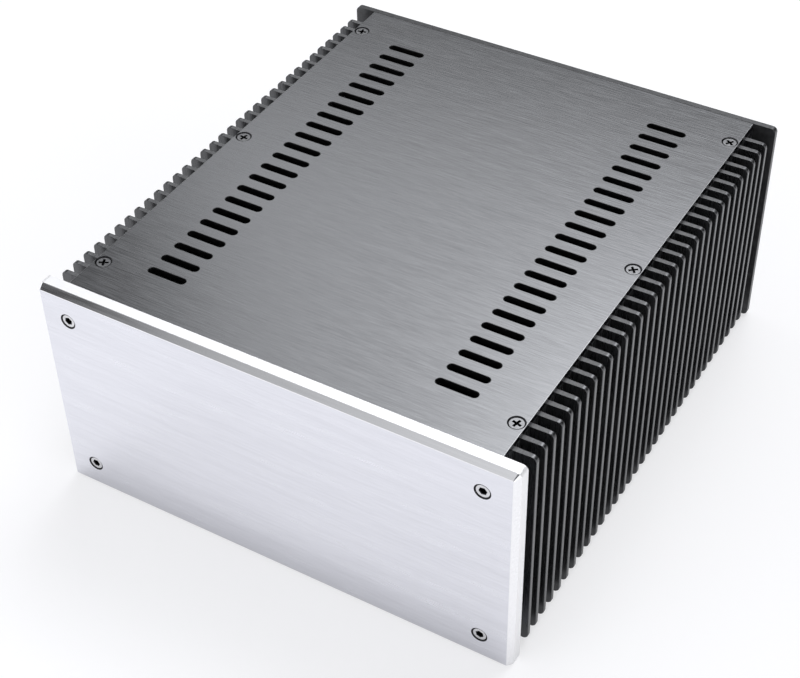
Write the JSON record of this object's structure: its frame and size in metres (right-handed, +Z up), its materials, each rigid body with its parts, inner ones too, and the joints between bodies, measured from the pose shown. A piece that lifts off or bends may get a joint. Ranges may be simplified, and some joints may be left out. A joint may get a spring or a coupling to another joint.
{
  "type": "amplifier chassis",
  "caption": "Low rectangular aluminium amplifier case: thick chamfered front panel, slotted top cover and base, black finned heatsinks as side walls, thin dark rear panel.",
  "frame": {"origin": "middle of the footprint, on the surface the case stands on", "axes": "+X to the right seen from the front, +Y from the front panel to the rear panel, +Z up"},
  "size_m": [0.24, 0.2734, 0.12],
  "materials": {
    "silver_panel": "fine brushed, clear anodised",
    "grey_plate": "brushed along the width",
    "black_anodised": "satin black anodised",
    "black_panel": "matte black anodised",
    "plated_steel": "nickel plated"
  },
  "bodies": {
    "root": {"front_panel": "silver_panel", "rear_panel": "black_panel", "left_heatsink": "black_anodised", "right_heatsink": "black_anodised", "top_cover": "grey_plate", "base_plate": "grey_plate", "cover_screws": "plated_steel", "base_screws": "plated_steel", "front_panel_screws": "plated_steel", "rear_panel_screws": "plated_steel"}
  },
  "joints": []
}
